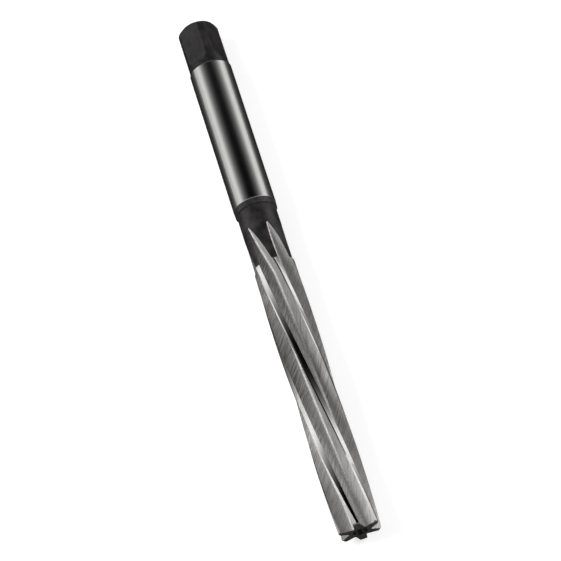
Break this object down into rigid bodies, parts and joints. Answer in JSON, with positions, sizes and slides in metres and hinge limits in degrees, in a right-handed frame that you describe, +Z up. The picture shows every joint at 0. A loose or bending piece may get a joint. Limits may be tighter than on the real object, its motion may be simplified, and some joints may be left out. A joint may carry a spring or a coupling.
{
  "type": "hand reamer",
  "caption": "Straight-bodied hand reamer with left-hand helical teeth, a tapered lead, a slim neck, a ground shank and a square driving end.",
  "frame": {"origin": "middle of the lying tool's length, under its axis, on the surface that it lies on", "axes": "+X along the axis towards the cutting tip, +Z up, +Y to complete a right-handed frame"},
  "size_m": [0.133, 0.01, 0.01],
  "materials": {
    "tool_steel": "ground high-speed steel, with the neck and the driving end left black"
  },
  "bodies": {
    "root": {"hand_reamer": "tool_steel"}
  },
  "joints": []
}
